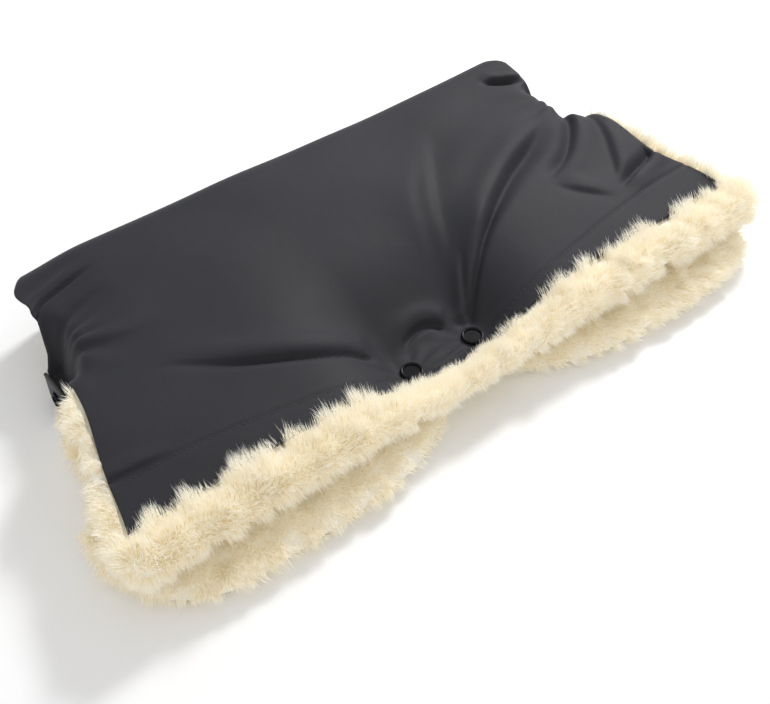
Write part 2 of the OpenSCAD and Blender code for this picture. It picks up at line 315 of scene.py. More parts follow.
def droop(x, y):
    """The empty fold sinks a little towards its left end and right of its middle."""
    amount = 6 * MM * smooth((-150 * MM - x) / (50 * MM)) + 5 * MM * bell(x - 90 * MM, 95 * MM)
    return amount * smooth((y - Y_CREST + 75 * MM) / (65 * MM))


# ---- Sections through the fold ----

CORNER = WALL * math.pi / 2
FRONT_FLAT = (Y_FOLD - WALL) - Y_EDGE
HALF_WALL = FOLD_H / 2 - WALL
TUCK = 26 * MM                      # how far the fold's ends tuck in at half height
TUCK_TOP = 9 * MM                   # the same just behind the crest


def front_section(s):
    """Along the front panel from its opening edge: y, drop below the crest, and the outward direction."""
    a = clamp01((s - FRONT_FLAT) / CORNER) * math.pi / 2
    y = Y_EDGE + np.minimum(s, FRONT_FLAT) + WALL * np.sin(a)
    drop = WALL * (1 - np.cos(a)) + np.maximum(0, s - FRONT_FLAT - CORNER)
    return y, drop, np.sin(a), np.cos(a)


def at_tab(y):
    """1 beside a side tab, falling to 0 past its edges."""
    return smooth((19 * MM - np.abs(y - Y_TAB)) / (5 * MM))


def front_side(y, drop):
    """Half width of the front shell: out to the tabs, and with the ends tucked in behind the crest."""
    tuck = mix(TUCK_TOP, TUCK, smooth(drop / (0.5 * FOLD_H)))
    reach_tab = (TAB_INSIDE - 0.7 * MM - shell_half(y)) * at_tab(y)
    return shell_half(y) + reach_tab - tuck * smooth((y - Y_CREST - 10 * MM) / (20 * MM))


def front_surface(u, s, inward=0.0, detail=True):
    """Points of the front panel's outer face, moved inward by some depth."""
    y, drop, ny, nz = front_section(s)
    half = front_side(y, drop)
    x = u * half
    y_plan = np.minimum(y, Y_FOLD - WALL)
    z = front_top(x, y_plan) - drop
    if detail:
        z = z + cloth_detail(x, y_plan) * nz
        x = x + side_ripple(x, y_plan, u) * (np.abs(u) ** 8) * (1 - at_tab(y_plan))
    return np.stack([x, y - ny * inward, z - nz * inward], -1)


def side_ripple(x, y, u):
    """Unevenness of the shell's side edges."""
    left = 1.3 * np.sin(y / (7.0 * MM)) * bell(y - Y_TAB - 18 * MM, 26 * MM) + 1.0 * np.sin(y / (13 * MM) + 1)
    right = 2.2 * np.sin(y / (9.5 * MM) + 0.8) * bell(y - Y_TAB, 60 * MM) + 1.5 * np.sin(y / (15 * MM))
    right = right + 1.5 * bell(y - 25 * MM, 26 * MM) - 3.0 * bell(y + 28 * MM, 10 * MM)
    return np.where(u < 0, left, right) * MM


BACK_FLAT = (Y_FOLD - WALL) - Y_BACK_EDGE


def back_section(s, y_start):
    """Along the back panel from its opening edge: y, rise above the rest face, and the outward direction."""
    flat = (Y_FOLD - WALL) - y_start
    a = clamp01((s - flat) / CORNER) * math.pi / 2
    y = y_start + np.minimum(s, flat) + WALL * np.sin(a)
    rise = WALL * (1 - np.cos(a)) + np.maximum(0, s - flat - CORNER)
    return y, rise, np.sin(a), np.cos(a)


def corner(x, half, r):
    s = clamp01((np.abs(x) - half + r) / r)
    return r * (1 - np.sqrt(np.maximum(0, 1 - s * s)))


def back_tuck(y):
    return TUCK * smooth((y - Y_TAB - 16 * MM) / (28 * MM))


# ---- Mesh helpers ----


def grid_quads(rows, cols, base=0, flip=False):
    i = np.arange(cols - 1)
    j = np.arange(rows - 1)
    a = (j[:, None] * cols + i[None, :]).ravel() + base
    q = np.stack([a, a + 1, a + cols + 1, a + cols], 1)
    return q[:, ::-1] if flip else q


def rim_loop(rows, cols):
    bottom = np.arange(cols - 1)
    right = np.arange(rows - 1) * cols + cols - 1
    top = (rows - 1) * cols + np.arange(cols - 1, 0, -1)
    left = np.arange(rows - 1, 0, -1) * cols
    return np.concatenate([bottom, right, top, left])


def new_object(name, points, polygons, smooth_faces=True):
    """A mesh object from an array of points and an array of quads or a list of such arrays."""
    groups = polygons if isinstance(polygons, list) else [polygons]
    mesh = bpy.data.meshes.new(name)
    sizes = np.concatenate([np.full(len(g), g.shape[1], np.int32) for g in groups])
    loops = np.concatenate([g.ravel() for g in groups]).astype(np.int32)
    mesh.vertices.add(len(points))
    mesh.vertices.foreach_set("co", np.asarray(points, np.float32).ravel())
    mesh.loops.add(len(loops))
    mesh.loops.foreach_set("vertex_index", loops)
    mesh.polygons.add(len(sizes))
    mesh.polygons.foreach_set("loop_start", np.concatenate([[0], np.cumsum(sizes)[:-1]]).astype(np.int32))
    mesh.polygons.foreach_set("use_smooth", np.full(len(sizes), smooth_faces))
    mesh.update(calc_edges=True)
    obj = bpy.data.objects.new(name, mesh)
    bpy.context.scene.collection.objects.link(obj)
    return obj


def closed_grids(outer, inner):
    """Points and quads of a closed sheet between two grids of the same shape. The outer grid faces out."""
    rows, cols = outer.shape[:2]
    layer = rows * cols
    points = np.concatenate([outer.reshape(-1, 3), inner.reshape(-1, 3)])
    rim = rim_loop(rows, cols)
    nxt = np.roll(rim, -1)
    sides = np.stack([rim, rim + layer, nxt + layer, nxt], 1)
    return points, np.concatenate([grid_quads(rows, cols), grid_quads(rows, cols, layer, True), sides])


def closed_sheet(name, outer, inner):
    points, quads = closed_grids(outer, inner)
    return new_object(name, points, quads)


def joined(name, parts):
    """One object from several closed sheets."""
    starts = np.cumsum([0] + [len(points) for points, quads in parts])
    quads = np.concatenate([quads + start for (points, quads), start in zip(parts, starts)])
    return new_object(name, np.concatenate([points for points, quads in parts]), quads)


def grid_normals(p):
    du = np.gradient(p, axis=1)
    dv = np.gradient(p, axis=0)
    return unit(np.cross(du, dv))


def denser(count, power=0.25):
    """Positions from -1 to 1, closer together towards both ends."""
    w = np.linspace(-1, 1, count)
    return w * (1 + power - power * w * w)


# ---- Shell pieces ----


def make_front_shell():
    s = np.linspace(0, FRONT_FLAT + CORNER + HALF_WALL, 190)
    u = denser(250, 0.12)
    uu, ss = np.meshgrid(u, s)
    outer = front_surface(uu, ss)
    n = grid_normals(outer)
    edge = np.minimum((1 - np.abs(uu)) * FOLD_HALF, ss)
    thick = SHELL_T * (0.55 + 0.45 * smooth(edge / (2.0 * MM)))
    outer = outer - n * (SHELL_T * 0.3 * (1 - smooth(edge / (1.5 * MM))))[..., None]
    inner = outer - n * thick[..., None]
    return closed_sheet("front_shell_cloth", outer, inner)


STITCH = 2.4 * MM                   # length of a stitch
STITCH_PITCH = 3.5 * MM
THREAD_R = 0.26 * MM


def make_hem_stitches():
    """The row of short threads along the hem of the front panel."""
    x0 = np.arange(-0.94 * OPEN_HALF, 0.94 * OPEN_HALF, STITCH_PITCH)
    t = np.linspace(0, 1, 5)
    x = x0[:, None] + STITCH * t[None, :]
    y = hem_line(x)
    u = x / front_side(y, np.zeros(y.shape))
    s = y - Y_EDGE
    p = front_surface(u, s)
    across = unit(front_surface(u + 0.002, s) - p)
    n = unit(np.cross(across, front_surface(u, s + 0.5 * MM) - p))
    side = np.cross(n, across)
    line = p + n * (THREAD_R * (1.5 * np.sin(math.pi * t) - 0.5))[None, :, None]
    girth = (THREAD_R * (0.45 + 0.55 * np.sin(math.pi * t)))[None, :, None]
    rings = []
    for a in np.arange(6) * math.pi / 3:
        rings.append(line + (math.cos(a) * side + math.sin(a) * n) * girth)
    rings = np.stack(rings, 2).reshape(len(x0), 30, 3)
    ends = np.stack([line[:, 0] - across[:, 0] * THREAD_R, line[:, -1] + across[:, -1] * THREAD_R], 1)
    points = np.concatenate([rings, ends], 1).reshape(-1, 3)
    base = np.arange(len(x0))[:, None] * 32
    quads = []
    tris = []
    for k in range(6):
        m = (k + 1) % 6
        tris.append(base + np.array([[30, m, k]]))
        tris.append(base + np.array([[31, 24 + k, 24 + m]]))
        for c in range(4):
            quads.append(base + np.array([[6 * c + k, 6 * c + m, 6 * c + 6 + m, 6 * c + 6 + k]]))
    return new_object("front_hem_stitches", points, [np.concatenate(quads), np.concatenate(tris)])


def back_ear(side):
    """The back shell's upturned ear beside the wool, which carries a tab's press stud."""
    across, up = np.meshgrid(np.linspace(-EAR_HALF, EAR_HALF, 25), np.linspace(0, 1, 19))
    z = SHELL_T / 3 + up * (EAR_H - SHELL_T / 3 - corner(across, EAR_HALF, 3 * MM))
    left = side * EAR_X - (SHELL_T if side < 0 else 0) + 0 * z
    face = np.stack([left + SHELL_T, Y_TAB + across, z], -1)
    return closed_grids(face, np.stack([left, Y_TAB + across, z], -1))


BACK_DIP = 29 * MM                  # how far the back's edge draws in at the press studs
BACK_CORNER = 48 * MM               # radius of its corners
DIP_WIDTH = 52 * MM


def make_back_shell():
    s = np.linspace(0, BACK_FLAT + CORNER + HALF_WALL, 130)
    u = denser(150, 0.12)
    uu, ss = np.meshgrid(u, s)
    y, rise, ny, nz = back_section(ss, Y_BACK_EDGE)
    half = shell_half(y) + 2 * MM * clamp01((Y_EDGE - y) / (Y_EDGE - Y_BACK_EDGE)) - back_tuck(y)
    x = uu * half
    draw = BACK_DIP * bell(x, DIP_WIDTH) + corner(x, half, BACK_CORNER)
    y = y + draw * (1 - clamp01(ss / (90 * MM))) ** 2
    lift = 0.12 * MM * (1 + np.sin(x / (11 * MM)) * np.sin(y / (14 * MM)))
    outer = np.stack([x, y, rise + lift * nz], -1)
    inner = np.stack([x, y - ny * SHELL_T, rise + (lift + SHELL_T) * nz], -1)
    return joined("back_shell_cloth", [closed_grids(inner, outer), back_ear(-1), back_ear(1)])


# ---- Sheepskin: a lumpy core, which is the hide and its dense pile, and locks of wool rooted in it ----

LUMPS = random_waves(16, 0.011, 0.03)


def lumps(x, y):
    """Unevenness of the sheepskin's thickness."""
    h = np.zeros(x.shape)
    for wave in LUMPS:
        h += wave_field(x, y, *wave)
    return h / 4


PILE = 15 * MM                      # thickness of the core
FRONT_PAST = 25 * MM                # how far the front's core stands past the shell's opening edge
BACK_START = Y_EDGE - 24 * MM       # where the back's core begins, before its own rim
BACK_PAST = 20 * MM                 # width of that rim
WOOL_PAST = 14 * MM                 # how far the back's core stands past the shell at its corners
RIM_ROUND = 9 * MM                  # how far from its rim a core rounds off
RIM_CELLS = 6
ACROSS_CELLS = 150
ALONG_CELLS = 110


def wool_grid(rim_cells, across_cells, s_rim, s_values):
    beyond = np.arange(1, rim_cells + 1) / rim_cells
    u = np.concatenate([-1 - beyond[::-1], denser(across_cells), 1 + beyond])
    v = np.concatenate([-beyond[::-1] * s_rim, s_values])
    return np.meshgrid(u, v)


def rounding(d, width):
    return np.sqrt(np.maximum(0, 1 - (1 - clamp01(d / width)) ** 2))


def side_start(x):
    """Where the wool begins to stand out past the shell's sides: below the left tab, and at the right one."""
    return Y_TAB - np.where(x < 0, 24 * MM, 8 * MM)


NEAR = 2 * MM
AROUND = ((0, 0), (NEAR, NEAR), (-NEAR, NEAR), (NEAR, -NEAR), (-NEAR, -NEAR))


def under_cloth(x, y):
    """How far the cloth's creases press into the wool near each point."""
    near = [cloth_detail(x + dx, y + dy) for dx, dy in AROUND]
    return np.minimum(0, np.minimum.reduce(near))


def front_core_half(y):
    """Half width of the front's core under the shell: drawn in at the tabs and at the ends of the fold."""
    half = shell_half(y) - 2 * MM - 16 * MM * smooth((y - Y_TAB + 22 * MM) / (20 * MM))
    return half - TUCK * smooth((y - Y_CREST - 4 * MM) / (24 * MM))


def past_rim(uu, ss, s_rim):
    """How far out on the rims beside and ahead of the shell each point is, and its distance along."""
    a = np.maximum(0, np.abs(uu) - 1)
    b = np.maximum(0, -ss / s_rim)
    return a, b, np.where(ss < 0, ss * np.sqrt(1 - a * a / 2), ss)


def core_x(uu, a, b, half, past):
    return np.sign(uu) * (np.minimum(1, np.abs(uu)) * half + past * a * np.sqrt(1 - b * b / 2))


def core_depths(uu, s, a, b, half, past, s_rim, skin, pile):
    """How deep the core's two faces lie under the panel's outer face. They meet at the core's rim."""
    beside = (1 - a) * past + np.maximum(0, 1 - np.abs(uu)) * half
    ahead = (1 - b) * s_rim + np.maximum(0, s)
    r = np.maximum(0.12, rounding(np.minimum(beside, ahead), RIM_ROUND))
    return skin + pile * (0.5 - 0.5 * r), skin + pile * (0.5 + 0.5 * r)


def make_front_wool():
    """Grids of the front core's two faces, outer and inner, and each point's place across and along it."""
    total = FRONT_FLAT + CORNER + HALF_WALL - 0.3 * MM
    uu, ss = wool_grid(RIM_CELLS, ACROSS_CELLS, FRONT_PAST, np.linspace(0, total, ALONG_CELLS))
    a, b, s = past_rim(uu, ss, FRONT_PAST)
    y, drop, ny, nz = front_section(s)
    beside = 9 * MM * smooth((side_start(uu) - y) / (30 * MM))
    past = 1 * MM + beside + 4 * MM * smooth((-30 * MM - y) / (35 * MM))
    half = front_core_half(y)
    x = core_x(uu, a, b, half, past)
    hold = stud_hold(x, y)
    tab = tab_hold(x, y) * (1 - hold)
    thick = mix(PILE * 0.62, PILE * 1.2, smooth((12 * MM - ss) / (20 * MM)))
    pile = mix(thick, 3.0 * MM, clamp01(hold + 0.9 * tab))
    pile = pile * (1 + 0.10 * lumps(x, y) * (1 - hold))
    skin = SHELL_T + 1.2 * MM - 3.5 * MM * smooth(-ss / (9 * MM)) + 1.2 * MM * tab
    outer, inner = core_depths(uu, s, a, b, half, past, FRONT_PAST, skin, pile)
    y_plan = np.minimum(y, Y_FOLD - WALL)
    top = front_top(x, y_plan) - drop
    base = np.stack([x, y, top + under_cloth(x, y_plan) * nz], -1)
    normal = np.stack([np.zeros(y.shape), ny, nz], -1)
    return base - normal * outer[..., None], base - normal * inner[..., None], uu, ss


def make_back_wool():
    """The same for the back, whose outer face lies on the ground side."""
    total = (Y_FOLD - WALL) - BACK_START + CORNER + HALF_WALL - 0.3 * MM
    uu, ss = wool_grid(RIM_CELLS, ACROSS_CELLS, BACK_PAST, np.linspace(0, total, ALONG_CELLS))
    a, b, s = past_rim(uu, ss, BACK_PAST)
    y, rise, ny, nz = back_section(s, BACK_START)
    beside = 12 * MM * smooth((Y_TAB + 12 * MM - y) / (36 * MM))
    past = 1 * MM + beside + 4 * MM * smooth((-10 * MM - y) / (50 * MM))
    half = shell_half(y) - back_tuck(y) - 1.5 * MM
    x = core_x(uu, a, b, half, past)
    reach = OPEN_HALF + WOOL_PAST
    round_corner = corner(np.minimum(np.abs(x), reach), reach, BACK_CORNER + WOOL_PAST)
    draw = (BACK_DIP + 7 * MM) * bell(x, DIP_WIDTH) + round_corner
    y = y + draw * (1 - clamp01(ss / (110 * MM))) ** 2
    hold = stud_hold(x, y)
    pile = mix(PILE * 0.78, 3.5 * MM, hold)
    pile = pile * (1 + 0.10 * lumps(x + 0.3, y) * (1 - hold))
    outer, inner = core_depths(uu, s, a, b, half, past, BACK_PAST, SHELL_T + 0.6 * MM, pile)
    base = np.stack([x, y, rise], -1)
    normal = np.stack([np.zeros(y.shape), ny, -nz], -1)
    return base - normal * outer[..., None], base - normal * inner[..., None], uu, ss


def scatter(grid, normals, weight, count):
    """Random points on a grid surface: places and normals, denser where the weight is larger."""
    p00, p10, p11, p01 = grid[:-1, :-1], grid[:-1, 1:], grid[1:, 1:], grid[1:, :-1]
    area = np.linalg.norm(np.cross(p11 - p00, p01 - p10), axis=-1) / 2
    w = area * (weight[:-1, :-1] + weight[1:, 1:]) / 2
    w = (w / w.sum()).ravel()
    pick = rng.choice(len(w), count, p=w)
    j, i = np.unravel_index(pick, area.shape)
    a = rng.random((count, 1))
    b = rng.random((count, 1))

    def at(values):
        low = values[j, i] * (1 - a) + values[j, i + 1] * a
        high = values[j + 1, i] * (1 - a) + values[j + 1, i + 1] * a
        return low * (1 - b) + high * b

    return at(grid), unit(at(normals))


STATIONS = (0.0, 0.55, 1.0)         # points along a strand, from its root to its tip


def tufting(x, y):
    """Slow change of the wool's length and lean, which gathers its tips into scallops, from -1 to 1."""
    a = np.sin(x / (4.6 * MM) + 1.3 * np.sin(x / (17 * MM)) + y / (11 * MM))
    return 0.6 * a + 0.4 * np.sin(x / (9.5 * MM) - y / (8 * MM) + 2)


def length_at(places, length, swing=0.12):
    """Length of the wool at each place: short where the press studs pinch it, and longer in its tufts."""
    x, y = places[:, :1], places[:, 1:2]
    return length * (1 - 0.6 * stud_hold(x, y)) * (1 + swing * tufting(x, y))


CURL = 0.09                         # how far a strand's middle strays, as a share of its length


def locks(places, normals, comb, length, per, radius, thickness, spread=0.7, stray=0.06):
    """Strands of wool, so many per tuft: the points along each strand, its radius and its tint."""
    n = len(places)
    r1 = unit(rng.normal(size=(n, 3)))
    t1 = unit(np.cross(normals, r1))
    t2 = np.cross(normals, t1)
    lean = unit(normals + comb + 0.22 * (t1 * rng.normal(size=(n, 1)) + t2 * rng.normal(size=(n, 1))))
    size = length * rng.uniform(0.72, 1.12, (n, 1))
    tint = rng.normal(0.5, 0.2, n)
    k = n * per
    rep = np.repeat(np.arange(n), per)
    angle = rng.uniform(0, 2 * math.pi, k)[:, None]
    dist = radius * np.sqrt(rng.random((k, 1)))
    offset = dist * (np.cos(angle) * t1[rep] + np.sin(angle) * t2[rep])
    root = places[rep] + offset - normals[rep] * 1.2 * MM
    own = size[rep] * rng.uniform(0.6, 1.1, (k, 1))
    tip = places[rep] + lean[rep] * own + offset * spread + stray * own * rng.normal(size=(k, 3))
    control = root + unit(normals[rep] + 0.35 * lean[rep]) * own * 0.5
    control = control + CURL * own * rng.normal(size=(k, 3))
    points = []
    for t in STATIONS:
        points.append((1 - t) ** 2 * root + 2 * t * (1 - t) * control + t * t * tip)
    line = np.stack(points, 1)
    line[..., 2] = np.maximum(line[..., 2], 0.5 * MM)
    girth = thickness * rng.uniform(0.75, 1.25, k)
    return line, girth, np.clip(tint[rep] + rng.normal(0, 0.09, k), 0, 1)


def strand_mesh(name, line, girth, tint):
    """Closed three-sided tapering strands along the lines."""
    k = len(line)
    chord = unit(line[:, 2] - line[:, 0])
    e1 = unit(np.cross(chord, unit(rng.normal(size=(k, 3)))))
    e2 = np.cross(chord, e1)
    rings = []
    for c, share in enumerate((1.0, 0.8)):
        for a in (0, 2 * math.pi / 3, 4 * math.pi / 3):
            out = math.cos(a) * e1 + math.sin(a) * e2
            rings.append(line[:, c] + out * (girth * share)[:, None])
    points = np.stack(rings + [line[:, 2]], 1).reshape(-1, 3)
    base = np.arange(k)[:, None] * 7
    quads = [base + np.array([[a, (a + 1) % 3, 3 + (a + 1) % 3, 3 + a]]) for a in range(3)]
    tris = [base + np.array([[3 + a, 3 + (a + 1) % 3, 6]]) for a in range(3)]
    tris.append(base + np.array([[2, 1, 0]]))
    obj = new_object(name, points, [np.concatenate(quads), np.concatenate(tris)], smooth_faces=False)
    tip = obj.data.attributes.new("tip", "FLOAT", "POINT")
    tip.data.foreach_set("value", np.tile(np.repeat(STATIONS, (3, 3, 1)).astype(np.float32), k))
    shade = obj.data.attributes.new("tint", "FLOAT", "POINT")
    shade.data.foreach_set("value", np.repeat(tint, 7).astype(np.float32))
    return obj


MOST_STRANDS = 19800                # keeps each piece under 200 000 triangles, at ten to a strand


def strand_pieces(name, parts):
    """Several sets of strands as pieces of a bounded size, from the left to the right."""
    line = np.concatenate([p[0] for p in parts])
    girth = np.concatenate([p[1] for p in parts])
    tint = np.concatenate([p[2] for p in parts])
    order = np.argsort(line[:, 0, 0], kind="stable")
    made = []
    shares = np.array_split(order, math.ceil(len(order) / MOST_STRANDS))
    for number, part in enumerate(shares):
        made.append(strand_mesh(f"{name}_{number + 1}", line[part], girth[part], tint[part]))
    return made


# ---- Materials ----


def new_material(name):
    mat = bpy.data.materials.new(name)
    mat.use_nodes = True
    nodes = mat.node_tree.nodes
    links = mat.node_tree.links
    shader = nodes["Principled BSDF"]
    return mat, nodes, links, shader


def add(nodes, kind, **values):
    node = nodes.new(kind)
    for key, value in values.items():
        if key in node.inputs:
            node.inputs[key].default_value = value
        else:
            setattr(node, key, value)
    return node


def ramp(nodes, stops):
    node = nodes.new("ShaderNodeValToRGB")
    while len(node.color_ramp.elements) < len(stops):
        node.color_ramp.elements.new(0.5)
    for element, (position, colour) in zip(node.color_ramp.elements, stops):
        element.position = position
        element.color = (*colour, 1)
    return node


def cloth_material():
    mat, nodes, links, shader = new_material("charcoal_cloth")
    place = nodes.new("ShaderNodeTexCoord")
    cloud = add(nodes, "ShaderNodeTexNoise", Scale=14.0, Detail=4.0, Roughness=0.55)
    tone = ramp(nodes, [(0.3, (0.0145, 0.0148, 0.0190)), (0.7, (0.0195, 0.0198, 0.0255))])
    worn = add(nodes, "ShaderNodeNewGeometry")
    wear = ramp(nodes, [(0.505, (0, 0, 0)), (0.56, (0.22, 0.22, 0.22))])
    blend = add(nodes, "ShaderNodeMix", data_type="RGBA")
    blend.inputs[7].default_value = (0.05, 0.05, 0.062, 1)
    links.new(place.outputs["Object"], cloud.inputs["Vector"])
    links.new(cloud.outputs["Fac"], tone.inputs["Fac"])
    links.new(worn.outputs["Pointiness"], wear.inputs["Fac"])
    links.new(wear.outputs["Color"], blend.inputs[0])
    links.new(tone.outputs["Color"], blend.inputs[6])
    links.new(blend.outputs[2], shader.inputs["Base Color"])
    rough = add(nodes, "ShaderNodeMapRange")
    rough.inputs["To Min"].default_value = 0.60
    rough.inputs["To Max"].default_value = 0.74
    links.new(cloud.outputs["Fac"], rough.inputs["Value"])
    links.new(rough.outputs["Result"], shader.inputs["Roughness"])
    warp = add(nodes, "ShaderNodeTexWave", Scale=420.0, Distortion=0.6, Detail=1.0)
    weft = add(nodes, "ShaderNodeTexWave", Scale=420.0, Distortion=0.6, Detail=1.0)
    weft.bands_direction = "Y"
    both = add(nodes, "ShaderNodeMath", operation="MULTIPLY")
    fine = add(nodes, "ShaderNodeTexNoise", Scale=70.0, Detail=6.0, Roughness=0.6)
    total = add(nodes, "ShaderNodeMath", operation="MULTIPLY_ADD")
    total.inputs[1].default_value = 0.12
    bump = add(nodes, "ShaderNodeBump", Strength=0.35, Distance=0.0009)
    for node in (warp, weft, fine):
        links.new(place.outputs["Object"], node.inputs["Vector"])
    links.new(warp.outputs["Fac"], both.inputs[0])
    links.new(weft.outputs["Fac"], both.inputs[1])
    links.new(both.outputs[0], total.inputs[0])
    links.new(fine.outputs["Fac"], total.inputs[2])
    links.new(total.outputs[0], bump.inputs["Height"])
    links.new(bump.outputs["Normal"], shader.inputs["Normal"])
    shader.inputs["Sheen Weight"].default_value = 0.08
    shader.inputs["Sheen Roughness"].default_value = 0.4
    shader.inputs["Sheen Tint"].default_value = (0.75, 0.75, 0.85, 1)
    shader.inputs["Specular IOR Level"].default_value = 0.28
    return mat


def wool_core_material():
    mat, nodes, links, shader = new_material("wool_core")
    place = nodes.new("ShaderNodeTexCoord")
    cloud = add(nodes, "ShaderNodeTexNoise", Scale=110.0, Detail=5.0, Roughness=0.65)
    # Painted shade: the core's golden tone, a little darker than the strand tips, stands for the shade deep
    # in the pile; its cloudy variation is the wool's own uneven tone.
    tone = ramp(nodes, [(0.25, (0.94, 0.873, 0.715)), (0.75, (0.98, 0.945, 0.84))])
    bump = add(nodes, "ShaderNodeBump", Strength=0.9, Distance=0.003)
    links.new(place.outputs["Object"], cloud.inputs["Vector"])
    links.new(cloud.outputs["Fac"], tone.inputs["Fac"])
    links.new(tone.outputs["Color"], shader.inputs["Base Color"])
    links.new(cloud.outputs["Fac"], bump.inputs["Height"])
    links.new(bump.outputs["Normal"], shader.inputs["Normal"])
    shader.inputs["Roughness"].default_value = 0.9
    shader.inputs["Sheen Weight"].default_value = 0.3
    return mat


def wool_material():
    mat, nodes, links, shader = new_material("lambswool")
    tip = add(nodes, "ShaderNodeAttribute", attribute_name="tip")
    tint = add(nodes, "ShaderNodeAttribute", attribute_name="tint")
    # Painted shade: the strands are golden and darker at their roots, deep in the pile, and pale at their
    # tips.
    along = ramp(nodes, [(0.0, (0.96, 0.895, 0.73)), (0.45, (0.985, 0.963, 0.885)), (1.0, (1.0, 0.99, 0.95))])
    warm = ramp(nodes, [(0.1, (0.975, 0.94, 0.86)), (0.9, (1.0, 1.0, 1.0))])
    both = add(nodes, "ShaderNodeMix", data_type="RGBA", blend_type="MULTIPLY")
    both.inputs[0].default_value = 0.8
    links.new(tip.outputs["Fac"], along.inputs["Fac"])
    links.new(tint.outputs["Fac"], warm.inputs["Fac"])
    links.new(along.outputs["Color"], both.inputs[6])
    links.new(warm.outputs["Color"], both.inputs[7])
    links.new(both.outputs[2], shader.inputs["Base Color"])
    shader.inputs["Roughness"].default_value = 0.75
    shader.inputs["Specular IOR Level"].default_value = 0.25
    shader.inputs["Sheen Weight"].default_value = 0.25
    # Painted light: a faint glow in the wool's colour, which lifts the shade between the strands.
    shader.inputs["Emission Color"].default_value = (0.95, 0.90, 0.76, 1)
    shader.inputs["Emission Strength"].default_value = 0.028
    return mat


def thread_material():
    mat, nodes, links, shader = new_material("charcoal_thread")
    place = nodes.new("ShaderNodeTexCoord")
    twist = add(nodes, "ShaderNodeTexWave", Scale=900.0, Distortion=0.5)
    twist.bands_direction = "DIAGONAL"
    tone = ramp(nodes, [(0.2, (0.014, 0.014, 0.017)), (0.8, (0.034, 0.034, 0.040))])
    bump = add(nodes, "ShaderNodeBump", Strength=0.6, Distance=0.0002)
    links.new(place.outputs["Object"], twist.inputs["Vector"])
    links.new(twist.outputs["Fac"], tone.inputs["Fac"])
    links.new(twist.outputs["Fac"], bump.inputs["Height"])
    links.new(tone.outputs["Color"], shader.inputs["Base Color"])
    links.new(bump.outputs["Normal"], shader.inputs["Normal"])
    shader.inputs["Roughness"].default_value = 0.6
    shader.inputs["Sheen Weight"].default_value = 0.2
    return mat


def plastic_material():
    mat, nodes, links, shader = new_material("black_plastic")
    place = nodes.new("ShaderNodeTexCoord")
    cloud = add(nodes, "ShaderNodeTexNoise", Scale=600.0, Detail=3.0)
    tone = ramp(nodes, [(0.3, (0.004, 0.004, 0.005)), (0.7, (0.008, 0.008, 0.010))])
    bump = add(nodes, "ShaderNodeBump", Strength=0.08, Distance=0.0003)
    rough = add(nodes, "ShaderNodeMapRange")
    rough.inputs["To Min"].default_value = 0.20
    rough.inputs["To Max"].default_value = 0.28
    links.new(place.outputs["Object"], cloud.inputs["Vector"])
    links.new(cloud.outputs["Fac"], tone.inputs["Fac"])
    links.new(cloud.outputs["Fac"], rough.inputs["Value"])
    links.new(cloud.outputs["Fac"], bump.inputs["Height"])
    links.new(tone.outputs["Color"], shader.inputs["Base Color"])
    links.new(rough.outputs["Result"], shader.inputs["Roughness"])
    links.new(bump.outputs["Normal"], shader.inputs["Normal"])
    shader.inputs["Specular IOR Level"].default_value = 0.12
    return mat


def webbing_material():
    mat, nodes, links, shader = new_material("black_webbing")
    place = nodes.new("ShaderNodeTexCoord")
    ribs = add(nodes, "ShaderNodeTexWave", Scale=160.0, Distortion=0.3)
    ribs.bands_direction = "Z"
    threads = add(nodes, "ShaderNodeTexWave", Scale=260.0, Distortion=0.4)
    threads.bands_direction = "Y"
    both = add(nodes, "ShaderNodeMath", operation="MULTIPLY")
    tone = ramp(nodes, [(0.2, (0.009, 0.009, 0.010)), (0.8, (0.024, 0.024, 0.027))])
    bump = add(nodes, "ShaderNodeBump", Strength=0.8, Distance=0.0006)
    for node in (ribs, threads):
        links.new(place.outputs["Object"], node.inputs["Vector"])
    links.new(ribs.outputs["Fac"], both.inputs[0])
    links.new(threads.outputs["Fac"], both.inputs[1])
    links.new(both.outputs[0], tone.inputs["Fac"])
    links.new(both.outputs[0], bump.inputs["Height"])
    links.new(tone.outputs["Color"], shader.inputs["Base Color"])
    links.new(bump.outputs["Normal"], shader.inputs["Normal"])
    shader.inputs["Roughness"].default_value = 0.6
    shader.inputs["Sheen Weight"].default_value = 0.2
    return mat


def give(obj, mat):
    obj.data.materials.clear()
    obj.data.materials.append(mat)


# ---- Build ----

CLOTH = cloth_material()
WOOL = wool_material()
WOOL_CORE = wool_core_material()
PLASTIC = plastic_material()
WEBBING = webbing_material()
THREAD = thread_material()


def bend_front(obj):
    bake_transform(obj)


def bend_back(obj):
    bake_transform(obj)


def build_shells():
    front = make_front_shell()
    give(front, CLOTH)
    bend_front(front)
    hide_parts("front_shell", "spine_shell")
    stitches = make_hem_stitches()
    give(stitches, THREAD)
    bend_front(stitches)
    back = make_back_shell()
    give(back, CLOTH)
    bend_back(back)
    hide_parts("back_shell")


def at_fold_end(x, y):
    """1 near the ends of the handlebar tunnel, where the wool is kept short."""
    return (np.abs(x) > FOLD_HALF - 30 * MM) & (y > Y_TAB - 12 * MM)


def clear_of_shell(line):
    """Moves strands whose roots are under the front shell out past its nearest edge."""
    x = line[:, 0, 0]
    y = line[:, 0, 1]
    past_side = shell_half(y) + 0.8 * MM - np.abs(x)
    past_edge = y - Y_EDGE + 0.5 * MM
    under = (past_side > 0) & (past_edge > 0)
    sideways = under & (past_side < past_edge)
    line[..., 0] += (np.sign(x) * past_side * sideways)[:, None]
    line[..., 1] -= (past_edge * (under & ~sideways))[:, None]


def keep_on_core(line):
    """Inside wool at the tabs and the fold that would be rooted past the core's ends is moved in over it."""
    x = line[:, 0, 0]
    y = line[:, 0, 1]
    past = np.maximum(0, np.abs(x) - front_core_half(y)) * smooth((y - Y_TAB + 32 * MM) / (10 * MM))
    line[..., 0] -= (np.sign(x) * past)[:, None]


